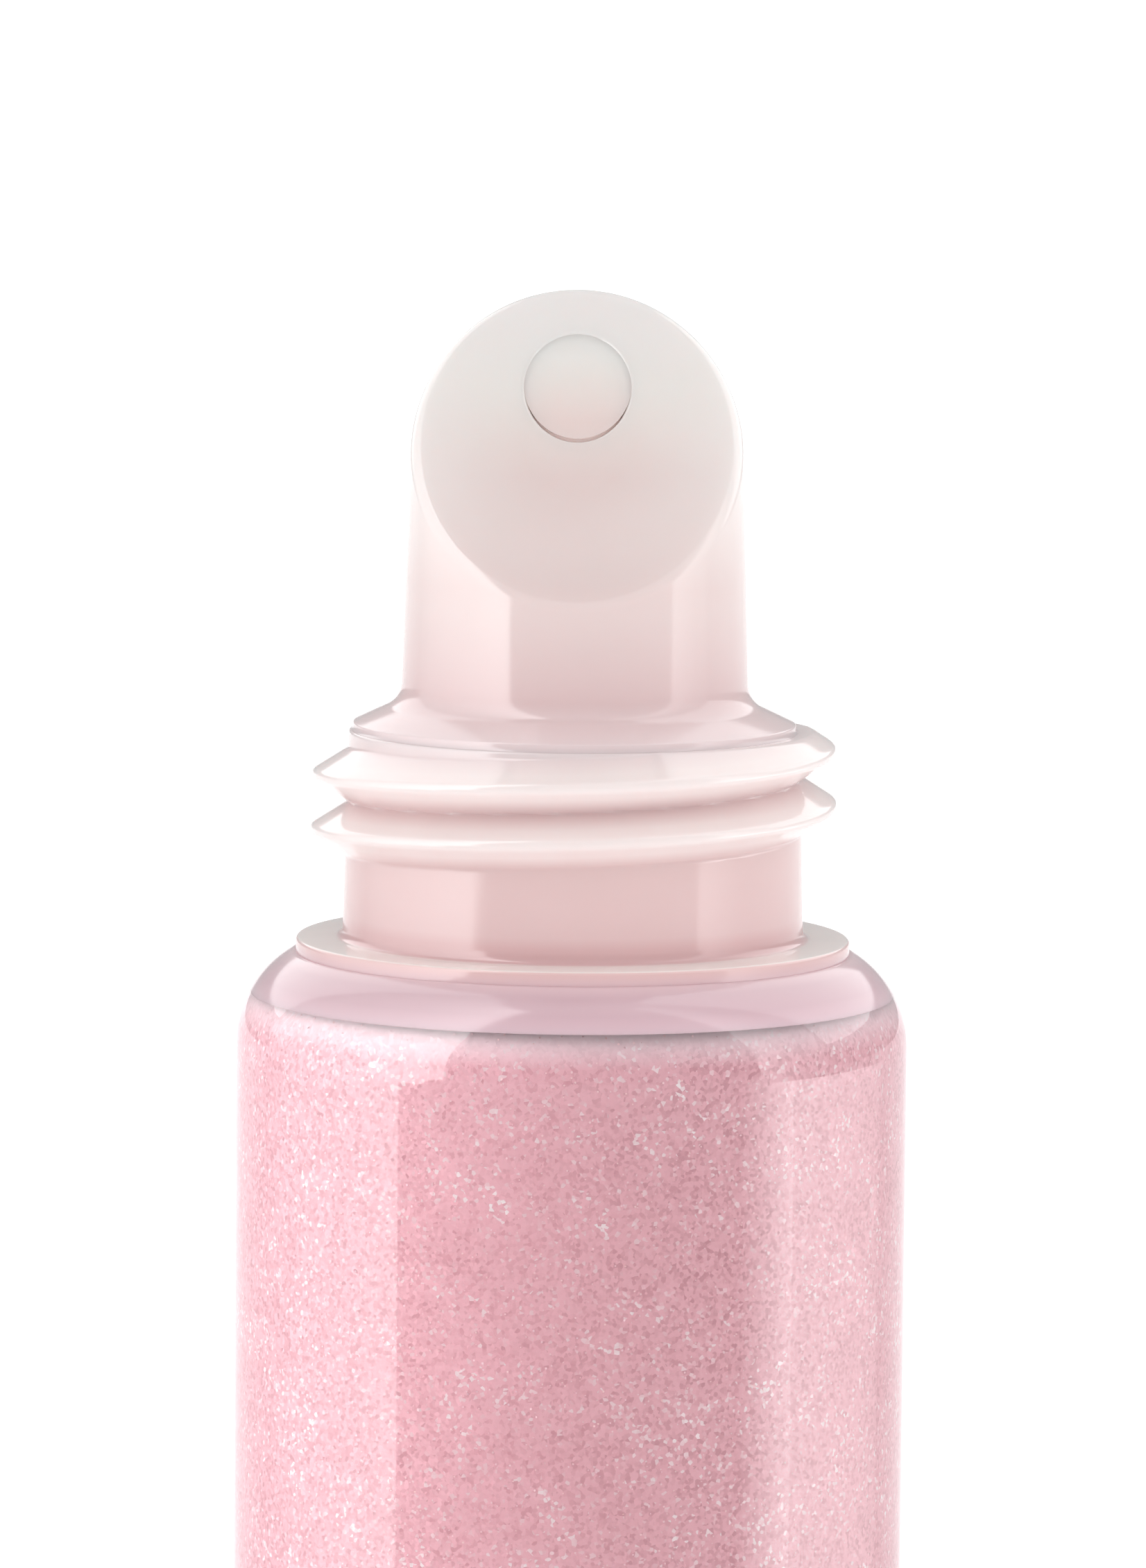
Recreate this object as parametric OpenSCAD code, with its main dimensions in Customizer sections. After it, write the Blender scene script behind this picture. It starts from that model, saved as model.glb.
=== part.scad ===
// Squeeze tube of lip gloss with a slanted applicator tip and a screw cap.
// The tube stands on its crimped end, tip up, with the slanted face towards -Y.
// The cap is drawn lifted off, straight above the tip, a whole number of turns up its thread.

/* [Sleeve] */
// Outer diameter of the round sleeve, and of the cap that lines up with it
tube_d = 19; // [18.5:0.1:24]
// Height of the round barrel, from the flattening part up to the shoulder
barrel_h = 19.4; // [12:0.1:60]
// Height over which the round sleeve flattens towards its seal
taper_h = 35; // [20:0.5:60]
// Height of the flat seal at the crimped end
seal_h = 5; // [3:0.1:8]
// Thickness of the seal, two walls pressed into one
seal_t = 0.9; // [0.6:0.05:1.4]
// Thickness of the sleeve's wall
wall = 0.5; // [0.3:0.05:0.7]

/* [Shoulder and neck] */
// Radius of the shoulder's rounding
shoulder_round = 3; // [2:0.1:3.6]
// Width of the bare ledge between the flange's edge and the rounding
shoulder_ledge = 0.08; // [0.02:0.01:0.3]
// How far round the rounding the sleeve reaches before it is welded to the head, as an angle
weld_angle = 30; // [15:1:38]
// Depth of the head's lip, which lines the sleeve below the weld
lip_h = 0.9; // [0.4:0.05:1.1]
// Thickness of the lip
lip_t = 0.3; // [0.2:0.05:0.5]
// How far the thin flange stands out from the neck
flange_w = 1.31; // [0.8:0.01:1.4]
// Thickness of the flange
flange_t = 0.4; // [0.3:0.05:0.8]
// Height of the neck above the flange
neck_h = 5.88; // [4.9:0.01:8]
// How much narrower the neck is at its top than at its foot, on the radius
neck_draft = 0.15; // [0:0.01:0.2]
// Thickness of the neck's wall at its top
neck_wall = 1.56; // [1:0.01:1.9]

/* [Thread] */
// Rise of the single-start right-hand thread in one turn
pitch = 1.55; // [1.25:0.01:1.9]
// Height of the ridge above the top of the neck, on the radius
thread_h = 1; // [0.6:0.01:1.1]
// Gap left between the feet of neighbouring ridges
thread_gap = 0.07; // [0.02:0.01:0.2]
// Turns of the ridge on the neck, run-outs included
neck_turns = 1.8; // [1.2:0.05:2]
// Height from the neck's top down to the ridge's crest at its upper end
thread_drop = 0.3; // [0.2:0.01:0.8]
// Turns of the ridge inside the cap
cap_ridge_turns = 1.75; // [1:0.05:1.9]

/* [Applicator tip] */
// Diameter of the nozzle at its foot
nozzle_d = 9.76; // [8:0.01:10.2]
// Height of the tip above the top of the neck
tip_h = 12.02; // [9.5:0.01:15]
// How much narrower the nozzle is at its top, on the radius
nozzle_draft = 0.2; // [0:0.01:0.3]
// Angle of the slanted face above the level
slant = 43; // [35:1:48]
// Rounding of the tip's highest edge
tip_round = 0.36; // [0.2:0.01:0.6]
// Width of the ledge between the nozzle's foot and the edge of the tip's collar
ledge_w = 1.36; // [1.2:0.01:1.6]
// Height of the collar at its edge
collar_h = 0.22; // [0.15:0.01:0.4]
// Rise of the collar's top towards the nozzle, as an angle
collar_rise = 25; // [10:1:30]
// Radius of the fillet at the nozzle's foot
foot_round = 0.8; // [0.4:0.05:0.9]
// Depth of the plug that presses into the neck
plug_h = 3; // [2:0.1:4]
// Diameter of the channel inside the tip
channel_d = 6.6; // [5:0.1:7]
// Thickness of the slanted wall over the channel, measured upright
face_t = 2.2; // [1.2:0.1:3]
// Diameter of the outlet in the slanted face
orifice_d = 2.9; // [1.5:0.1:3.2]
// Distance of the outlet behind the tube's axis
orifice_back = 1.5; // [0.5:0.1:1.6]
// Height to which gloss stands in the tip, above the top of the neck
gloss_level = 3.6; // [1:0.1:5]

/* [Cap] */
// Height of the cap
cap_h = 26; // [24:0.1:36]
// Thickness of the clear outer shell
shell_wall = 0.8; // [0.6:0.05:1]
// Thickness of the shell's top
shell_top = 1.2; // [0.8:0.1:2]
// Rounding of the shell's upper edge
cap_round = 1.5; // [0.5:0.1:2]
// Thickness of the threaded liner's wall
liner_wall = 0.75; // [0.6:0.05:0.9]
// Number of short press ribs round the liner's collar
rib_count = 12; // [8:1:20]
// Number of long fins that centre the liner's chamber
fin_count = 6; // [4:1:10]
// Thickness of the ribs and fins
fin_t = 0.7; // [0.5:0.05:1]
// Thickness of the sealing washer
washer_t = 0.6; // [0.4:0.05:1]
// Whole turns of the thread by which the cap is lifted off
lift_turns = 20; // [16:1:30]

/* [Fits] */
// Clearance between the two threads, square to their flanks
thread_clear = 0.1; // [0.08:0.01:0.14]
// Running clearance round the washer and over it
washer_clear = 0.04; // [0.02:0.01:0.08]
// Gap between the closed cap's washer and the tip's collar
seat_clear = 0.04; // [0.02:0.01:0.08]
// Clearance between the tip's foot or fillet and what goes round it
tip_clear = 0.2; // [0.15:0.01:0.4]
// Gap between the closed cap's rim and the shoulder
rim_clear = 0.18; // [0.1:0.01:0.4]
// Air between the liner's chamber and the nozzle
chamber_clear = 0.72; // [0.6:0.01:0.9]

/* [Hidden] */
$fn = 96;

// Colours
sleeve_colour = [0.96, 0.84, 0.88, 0.45];
neck_colour = [0.90, 0.76, 0.77, 0.80];
tip_colour = [0.93, 0.89, 0.88, 0.85];
gloss_colour = [0.84, 0.62, 0.68];
shell_colour = [0.97, 0.93, 0.94, 0.35];
liner_colour = [0.95, 0.92, 0.92];
washer_colour = [0.98, 0.98, 0.97];

eps = 0.01;        // overlap that joins solids of one piece, and carries a cut past a face
buried = 0.2;      // how deep a ridge, rib or fin is rooted in its wall

// Sleeve
tube_r = tube_d / 2;
bag_r = tube_r - wall;
taper_top = seal_h + taper_h;
shoulder_z = taper_top + barrel_h;
shoulder_centre = tube_r - shoulder_round;
weld_rise = shoulder_round * sin(weld_angle);
weld_z = shoulder_z + weld_rise;
lip_z = weld_z - min(lip_h, weld_rise - 0.1);
ring_count = 14;
ring_sides = 48;
soft_start = 0.15;                       // how gently the flattening begins
fullness = 0.8;                          // how long the filled bag keeps its depth; 1 is a straight wedge
slit_half = 0.04;                        // half the inner gap where the walls meet
perimeter_power = ln(2) / ln(PI / 2);    // keeps an ellipse's girth steady as it flattens

// Neck, flange and shoulder; the neck's top is the tip's seat
nozzle_r = nozzle_d / 2;
collar_r = nozzle_r + ledge_w;
neck_top_r = collar_r + 0.12;
neck_foot_r = neck_top_r + neck_draft;
flange_r = neck_foot_r + flange_w;
ledge_r = flange_r + shoulder_ledge;
inner_round = shoulder_round - wall;
lip_round = inner_round - lip_t;
lip_r = shoulder_centre + sqrt(pow(lip_round, 2) - pow(weld_rise, 2));   // inside the lip, at the weld
shoulder_rise = sqrt(pow(shoulder_round, 2) - pow(ledge_r - shoulder_centre, 2));
flange_z = shoulder_z + shoulder_rise;
neck_z = flange_z + flange_t;
seat_z = neck_z + neck_h;
bore_r = neck_top_r - neck_wall;
funnel_rise = 1;                         // how far the head's underside rises towards the bore
funnel_r = lip_r - 0.6;

// Thread
segments = 48;
runout = 30;                             // degrees over which a ridge rises from its wall
crest_half = 0.07;
crest_round = 0.08;
crest_r = neck_top_r + thread_h;
flank = ((pitch - thread_gap) / 2 - crest_half - crest_round) / (thread_h - crest_round);
crest_top_z = seat_z - thread_drop;      // height of the crest at the ridge's upper end
top_angle = 45;                          // where the upper end lies, from +X
liner_bore_r = crest_r + thread_clear;
cap_ridge_r = neck_foot_r + thread_clear;
flank_clear = thread_clear * sqrt(1 + pow(flank, 2));

// Tip
tip_z = seat_z + tip_h;
slant_rise = tan(slant);
foot_x = nozzle_r + foot_round;
foot_z = seat_z + collar_h + (collar_r - foot_x) * tan(collar_rise) + foot_round / cos(collar_rise);
nozzle_top_r = nozzle_r - nozzle_draft;
// Height of the slanted plane where it crosses the tube's axis, from the rounded top's height
face_z = tip_z - (nozzle_top_r - tip_round) * slant_rise + tip_round / cos(slant) - tip_round;
channel_r = channel_d / 2;
gloss_z = seat_z + gloss_level;

// Cap, at its closed height before it is lifted
lift = lift_turns * pitch;
shell_r = tube_r;
shell_bore_r = shell_r - shell_wall;
rim_z = shoulder_z + rim_clear + sqrt(pow(shoulder_round, 2) - pow(shell_bore_r - shoulder_centre, 2));
cap_z = rim_z + cap_h;
ceiling_z = cap_z - shell_top;
washer_hole_r = foot_x - foot_round * sin(collar_rise) + tip_clear;
washer_z = seat_z + collar_h + (collar_r - washer_hole_r) * tan(collar_rise) + seat_clear;
washer_seat_z = washer_z + washer_t + washer_clear;
washer_r = liner_bore_r - washer_clear;
chamber_r = nozzle_r + chamber_clear;
liner_r = liner_bore_r + liner_wall;
liner_foot_z = neck_z + flange_t;
chamber_top_z = ceiling_z - liner_wall;
// Crest of the cap's ridge at its upper end, just below the washer
cap_ridge_top_z = washer_z - pitch / 2 - 0.08;

// Half width of the flattened section across its thin way, at share t of the taper
function squash(t) = (sqrt(t * t + pow(soft_start, 2)) - soft_start) / (sqrt(1 + pow(soft_start, 2)) - soft_start);
function thin_half(r, end, t) = end + (r - end) * pow(1 - squash(t), fullness);
// Half width across the wide way that keeps the girth of a circle of radius r
function wide_half(r, thin) =
    pow(pow(PI * r / 2, perimeter_power) - pow(thin, perimeter_power), 1 / perimeter_power);
seal_half = wide_half(tube_r - eps, seal_t / 2);

// Faces of a closed skin over rings of equal size
function skin_faces(rings, sides) = concat(
    [[for (i = [0 : sides - 1]) sides - 1 - i]],
    [for (k = [0 : rings - 2], i = [0 : sides - 1])
        [k * sides + i, k * sides + (i + 1) % sides, (k + 1) * sides + (i + 1) % sides]],
    [for (k = [0 : rings - 2], i = [0 : sides - 1])
        [k * sides + i, (k + 1) * sides + (i + 1) % sides, (k + 1) * sides + i]],
    [[for (i = [0 : sides - 1]) (rings - 1) * sides + i]]);

// One ring of the flattening bag, at share t below the round barrel
function bag_ring(r, end, z, t) =
    let (thin = thin_half(r, end, t), wide = wide_half(r, thin))
    [for (i = [0 : ring_sides - 1])
        let (a = 360 * i / ring_sides) [wide * cos(a), thin * sin(a), z]];

// Closed bag: round above, flattening to a slit at z = seal_h. The flattening part ends inside the
// round one, narrower by eps, so that its corners don't lie on the round wall
module bag(r, end, top_z) {
    rings = concat(
        [bag_ring(r - eps, end, taper_top + buried, 0)],
        [for (k = [0 : ring_count]) let (t = k / ring_count)
            bag_ring(r - eps, end, taper_top - taper_h * t - (k == ring_count ? eps : 0), t)]);
    polyhedron([for (ring = rings) each ring], skin_faces(len(rings), ring_sides), convexity = 4);
    translate([0, 0, taper_top])
        cylinder(r = r, h = top_z - taper_top);
}

// Ridge swept up a right-hand helix; profile holds [radius, height] pairs, root_r is its buried foot
module helix_ridge(profile, root_r, turns, end_angle, end_z) {
    steps = ceil(turns * segments);
    rings = [for (i = [0 : steps])
        let (angle = end_angle - (steps - i) * 360 / segments,
             z = end_z - (steps - i) * pitch / segments,
             grown = max(0.04, min(1, min(i, steps - i) * 360 / segments / runout)))
        [for (p = profile)
            let (r = root_r + (p[0] - root_r) * grown)
            [r * cos(angle), r * sin(angle), z + p[1]]]];
    polyhedron([for (ring = rings) each ring], skin_faces(len(rings), len(profile)), convexity = 8);
}

// Half width of the neck's ridge at radius r
function ridge_half(r) = crest_half + crest_round + (crest_r - crest_round - r) * flank;

// The ridge on the neck, cut level with the neck's top where it runs out
module neck_ridge() {
    root_r = neck_top_r - buried;
    intersection() {
        translate([0, 0, neck_z])
            cylinder(r = crest_r + 1, h = neck_h);
        helix_ridge([[root_r, -ridge_half(root_r)],
                     [crest_r - crest_round, -crest_half - crest_round],
                     [crest_r, -crest_half],
                     [crest_r, crest_half],
                     [crest_r - crest_round, crest_half + crest_round],
                     [root_r, ridge_half(root_r)]],
                    root_r, neck_turns, top_angle, crest_top_z);
    }
}

// The cap's ridge fills the groove between the neck's, less the clearance on each flank
module cap_ridge() {
    function groove_half(r) = pitch / 2 - ridge_half(r) - flank_clear;
    root_r = liner_bore_r + buried;
    rise = cap_ridge_top_z - pitch / 2 - crest_top_z;
    helix_ridge([[root_r, groove_half(root_r)],
                 [cap_ridge_r, groove_half(cap_ridge_r)],
                 [cap_ridge_r, -groove_half(cap_ridge_r)],
                 [root_r, -groove_half(root_r)]],
                root_r, cap_ridge_turns, top_angle + rise / pitch * 360, cap_ridge_top_z);
}

// Quarter of the shoulder's rounding, of radius r, from the height low_z up to high_z
module rounding(r, low_z, high_z) {
    intersection() {
        translate([shoulder_centre, shoulder_z])
            circle(r = r);
        translate([shoulder_centre, low_z])
            square([r, high_z - low_z]);
    }
}

// Clear sleeve: a hollow bag that turns in at the shoulder and is sealed flat at its lower end
module sleeve() {
    color(sleeve_colour)
    union() {
        difference() {
            union() {
                bag(tube_r, seal_t / 2, shoulder_z);
                translate([-seal_half, -seal_t / 2, 0])
                    cube([2 * seal_half, seal_t, seal_h + buried]);
            }
            difference() {
                bag(bag_r, slit_half, shoulder_z + eps);
                cylinder(r = 2 * tube_r, h = seal_h);
            }
        }
        rotate_extrude()
        difference() {
            rounding(shoulder_round, shoulder_z - eps, weld_z);
            rounding(inner_round, shoulder_z - 2 * eps, weld_z + eps);
        }
    }
}

// Moulded head: rounded shoulder with its lip, thin flange and threaded neck
module neck_and_shoulder() {
    color(neck_colour)
    union() {
        rotate_extrude()
        difference() {
            union() {
                rounding(shoulder_round, weld_z, flange_z);
                translate([bore_r, weld_z])
                    square([shoulder_centre - bore_r + eps, flange_z - weld_z]);
                difference() {
                    rounding(inner_round, lip_z, weld_z + eps);
                    rounding(lip_round, lip_z - eps, weld_z + eps);
                }
                translate([bore_r, flange_z - eps])
                    square([flange_r - bore_r, flange_t + eps]);
                polygon([[bore_r, neck_z - eps],
                         [neck_foot_r, neck_z - eps],
                         [neck_top_r, seat_z],
                         [bore_r, seat_z]]);
            }
            funnel_profile();
        }
        neck_ridge();
    }
}

// Funnel under the head that leads the gloss into the neck
module funnel_profile() {
    polygon([[bore_r - eps, weld_z - eps],
             [funnel_r, weld_z - eps],
             [funnel_r, weld_z],
             [bore_r, weld_z + funnel_rise],
             [bore_r - eps, weld_z + funnel_rise]]);
}

// Half space under the slanted plane, drawn from the side as [y, z] and extruded along X
module under_slant(drop) {
    reach = 2 * tube_r;
    rotate([90, 0, 90])
    linear_extrude(height = 2 * reach, center = true)
        polygon([[-reach, shoulder_z],
                 [reach, shoulder_z],
                 [reach, face_z + reach * slant_rise - drop],
                 [-reach, max(shoulder_z + eps, face_z - reach * slant_rise - drop)]]);
}

// What is rounded off the highest edge, at the back of the slanted face
module top_edge_waste() {
    centre = [nozzle_top_r - tip_round, tip_z - tip_round];
    touch = centre + tip_round * [-sin(slant), cos(slant)];
    beyond = 2 * ledge_w;
    rotate([90, 0, 90])
    linear_extrude(height = 2 * tube_r, center = true)
    difference() {
        polygon([[nozzle_top_r, centre[1]],
                 [nozzle_top_r + beyond, centre[1]],
                 [nozzle_top_r + beyond, tip_z + beyond],
                 touch + beyond * [0, 1],
                 touch]);
        translate(centre)
            circle(r = tip_round);
    }
}

// Channel inside the tip: round, with a slanted roof that follows the face
module tip_channel() {
    intersection() {
        translate([0, 0, seat_z - plug_h - eps])
            cylinder(r = channel_r, h = tip_h + plug_h);
        under_slant(face_t);
    }
}

// Applicator tip: plug, collar, filleted nozzle, slanted face and outlet
module applicator_tip() {
    color(tip_colour)
    difference() {
        intersection() {
            rotate_extrude()
            difference() {
                polygon([[0, seat_z - plug_h],
                         [bore_r, seat_z - plug_h],
                         [bore_r, seat_z],
                         [collar_r, seat_z],
                         [collar_r, seat_z + collar_h],
                         [foot_x - foot_round * sin(collar_rise), foot_z - foot_round * cos(collar_rise)],
                         [nozzle_r, foot_z],
                         [nozzle_top_r, tip_z + ledge_w],
                         [0, tip_z + ledge_w]]);
                translate([foot_x, foot_z])
                    circle(r = foot_round);
            }
            under_slant(0);
        }
        top_edge_waste();
        tip_channel();
        translate([0, orifice_back, seat_z])
            cylinder(r = orifice_d / 2, h = tip_h + ledge_w);
    }
}

// Gloss: fills the sleeve, the funnel, the neck and the foot of the tip's channel
module gloss() {
    color(gloss_colour)
    union() {
        difference() {
            bag(bag_r, slit_half, shoulder_z);
            cylinder(r = 2 * tube_r, h = seal_h);
        }
        rotate_extrude() {
            rounding(inner_round, shoulder_z - eps, lip_z);
            rounding(lip_round, shoulder_z - eps, weld_z);
            translate([0, shoulder_z - eps])
                square([shoulder_centre + eps, weld_rise + eps]);
            funnel_profile();
            translate([0, weld_z - eps])
                square([bore_r, seat_z - plug_h - weld_z + eps]);
        }
        intersection() {
            tip_channel();
            translate([0, 0, seat_z - plug_h - eps])
                cylinder(r = tube_r, h = gloss_z - seat_z + plug_h);
        }
    }
}

// Clear outer shell of the cap
module cap_shell() {
    color(shell_colour)
    translate([0, 0, lift])
    rotate_extrude()
    difference() {
        union() {
            translate([0, rim_z])
                square([shell_r, cap_h - cap_round]);
            translate([0, rim_z])
                square([shell_r - cap_round, cap_h]);
            translate([shell_r - cap_round, cap_z - cap_round])
                circle(r = cap_round);
        }
        translate([-eps, rim_z - eps])
            square([shell_bore_r + eps, ceiling_z - rim_z + eps]);
        translate([-2 * shell_r, rim_z - eps])
            square([2 * shell_r, 2 * cap_h]);
    }
}

// Flat web from the radius inner_r out to the shell, repeated round the liner
module webs(count, inner_r, low_z, high_z) {
    for (i = [0 : count - 1])
        rotate([0, 0, 360 * i / count])
        intersection() {
            translate([inner_r - buried, -fin_t / 2, low_z])
                cube([shell_bore_r - inner_r + buried + 1, fin_t, high_z - low_z]);
            translate([0, 0, low_z])
                cylinder(r = shell_bore_r, h = high_z - low_z);
        }
}

// Threaded liner pressed into the shell: collar, chamber for the nozzle, ribs and fins
module cap_liner() {
    color(liner_colour)
    translate([0, 0, lift])
    union() {
        rotate_extrude()
            polygon([[liner_bore_r, liner_foot_z],
                     [liner_r, liner_foot_z],
                     [liner_r, washer_seat_z + liner_wall],
                     [chamber_r + liner_wall, washer_seat_z + liner_wall],
                     [chamber_r + liner_wall, ceiling_z],
                     [0, ceiling_z],
                     [0, chamber_top_z],
                     [chamber_r, chamber_top_z],
                     [chamber_r, washer_seat_z],
                     [liner_bore_r, washer_seat_z]]);
        cap_ridge();
        webs(rib_count, liner_r, liner_foot_z + 1, washer_seat_z);
        webs(fin_count, chamber_r + liner_wall, washer_seat_z + liner_wall - eps, ceiling_z - 2);
    }
}

// Soft washer above the thread, which seals on the tip's collar
module cap_washer() {
    color(washer_colour)
    translate([0, 0, lift + washer_z])
    difference() {
        cylinder(r = washer_r, h = washer_t);
        translate([0, 0, -eps])
            cylinder(r = washer_hole_r, h = washer_t + 2 * eps);
    }
}

sleeve();
neck_and_shoulder();
applicator_tip();
gloss();
cap_shell();
cap_liner();
cap_washer();
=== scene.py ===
"""Looks of the lip gloss tube: clear sleeve, shimmering gloss, moulded head, slanted tip and cap."""

import logging
import math
from dataclasses import dataclass, field
from enum import Enum
from typing import Callable, Iterable, Sequence, Union

import bmesh
import bpy
import numpy as np
from bpy.types import Material, Mesh, Node, NodeSocket, NodeTree, Object
from mathutils import Matrix, Vector


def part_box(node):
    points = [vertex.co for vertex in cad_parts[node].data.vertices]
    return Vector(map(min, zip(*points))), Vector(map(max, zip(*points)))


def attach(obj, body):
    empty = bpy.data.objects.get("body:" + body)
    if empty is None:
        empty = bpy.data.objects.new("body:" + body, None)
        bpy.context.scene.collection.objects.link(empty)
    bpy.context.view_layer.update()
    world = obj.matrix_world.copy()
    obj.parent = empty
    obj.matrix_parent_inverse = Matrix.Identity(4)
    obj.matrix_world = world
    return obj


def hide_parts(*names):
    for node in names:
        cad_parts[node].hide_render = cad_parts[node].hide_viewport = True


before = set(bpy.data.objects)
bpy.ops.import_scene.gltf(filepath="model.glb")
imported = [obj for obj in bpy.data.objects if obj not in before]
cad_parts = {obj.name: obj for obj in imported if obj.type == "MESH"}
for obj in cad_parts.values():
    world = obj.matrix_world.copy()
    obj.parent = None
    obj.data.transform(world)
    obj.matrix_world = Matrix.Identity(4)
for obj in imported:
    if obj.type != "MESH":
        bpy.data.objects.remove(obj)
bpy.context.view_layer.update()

LOG = logging.getLogger("gloss_tube")
MM = 0.001
WELD_M = 2e-7          # doubles nearer than this are merged
SLIVER_M = 1e-8        # edges shorter than this are dissolved
SIDES = 192            # round the axis
SMOOTH_BELOW = 40.0    # degrees an edge may turn by and still be shaded smooth
SMOOTH_MOULDED = 50.0  # the same, for moulded pieces
FLAKE_SEED = 7

Point = tuple[float, float]
Colour = tuple[float, ...]
Number = Union["Wire", float]
Tones = tuple[tuple[float, tuple[int, int, int]], ...]
Edges = tuple[tuple[float, float, float], ...]
Skin = tuple[np.ndarray, list[tuple[int, ...]]]


class Body(str, Enum):
    """The moving bodies of the frame."""

    TUBE = "tube"
    CAP_LIFTING = "cap_lifting"
    CAP_TURNING = "cap_turning"


def linear(red: float, green: float, blue: float) -> Colour:
    """Turns a display colour of 0 to 255 into the linear colour a shader takes.

    Args:
        red, green, blue: the display values.

    Returns:
        Linear red, green, blue and an alpha of 1.
    """
    def one(value: float) -> float:
        share = value / 255
        return share / 12.92 if share <= 0.04045 else ((share + 0.055) / 1.055) ** 2.4

    return (one(red), one(green), one(blue), 1.0)


# Tones up each milky piece: share of its height from low to high, and display colour
NECK_TONES_WITH_PAINTED_HIGHLIGHT: Tones = (
    (0.0, (226, 176, 187)), (0.12, (230, 182, 193)), (0.2, (228, 192, 201)), (0.25, (212, 178, 187)),
    # From 0.3655 to 0.372 a thin near-white band at the top of the flange: a painted highlight
    (0.3, (212, 180, 188)), (0.32, (222, 192, 198)), (0.3655, (226, 190, 188)), (0.3668, (240, 234, 230)),
    (0.368, (240, 234, 230)), (0.372, (222, 182, 183)), (0.65, (226, 194, 193)), (1.0, (238, 220, 220)))
TIP_TONES: Tones = ((0.0, (234, 212, 213)), (0.1, (225, 198, 198)), (0.3, (233, 214, 212)),
                    (0.6, (238, 220, 217)), (0.8, (250, 244, 239)), (1.0, (255, 253, 250)))
# The gloss in the outlet: near-white cream, lighter towards its top, painted light in place of its pink
OUTLET_PAINTED_LIGHT_TONES: Tones = ((0.72, (246, 226, 222)), (0.86, (254, 249, 244)))
LINER_TONES: Tones = ((0.0, (243, 236, 235)), (1.0, (246, 240, 239)))
# Greys of the surroundings, from behind the piece to behind the camera
WORLD_GREYS = ((0.0, 0.5), (0.35, 0.75), (0.55, 0.95), (0.8, 0.72), (1.0, 0.58))
CAMERA_WHITE = (1.15, 1.15, 1.15, 1.0)


# ---------------------------------------------------------------- node wiring


def operation(name: str, flipped: bool = False) -> Callable[["Wire", Number], "Wire"]:
    """An arithmetic method of Wire, which adds a Math node.

    Args:
        name: the Math node's operation.
        flipped: whether the wire comes second, after a plain number.

    Returns:
        The method.
    """
    def method(self: "Wire", other: Number) -> "Wire":
        return self.graph.math(name, *((other, self) if flipped else (self, other)))

    return method


class Wire:
    """A number that runs through a node tree; arithmetic on it adds Math nodes."""

    def __init__(self, graph: "Graph", socket: NodeSocket) -> None:
        """Keeps the tree and the socket the number comes from."""
        self.graph = graph
        self.socket = socket

    __add__, __radd__ = operation("ADD"), operation("ADD", True)
    __sub__, __rsub__ = operation("SUBTRACT"), operation("SUBTRACT", True)
    __mul__, __rmul__ = operation("MULTIPLY"), operation("MULTIPLY", True)
    __truediv__, __rtruediv__ = operation("DIVIDE"), operation("DIVIDE", True)
    __pow__ = operation("POWER")

    def clamped(self, low: Number = 0.0, high: Number = 1.0) -> "Wire":
        """The number held between two limits."""
        return self.graph.math("MINIMUM", self.graph.math("MAXIMUM", self, low), high)

    def share_mm(self, low: float, high: float) -> "Wire":
        """How far a place in metres lies between two in millimetres, held from 0 to 1."""
        return ((self - low * MM) / ((high - low) * MM)).clamped()


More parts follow.
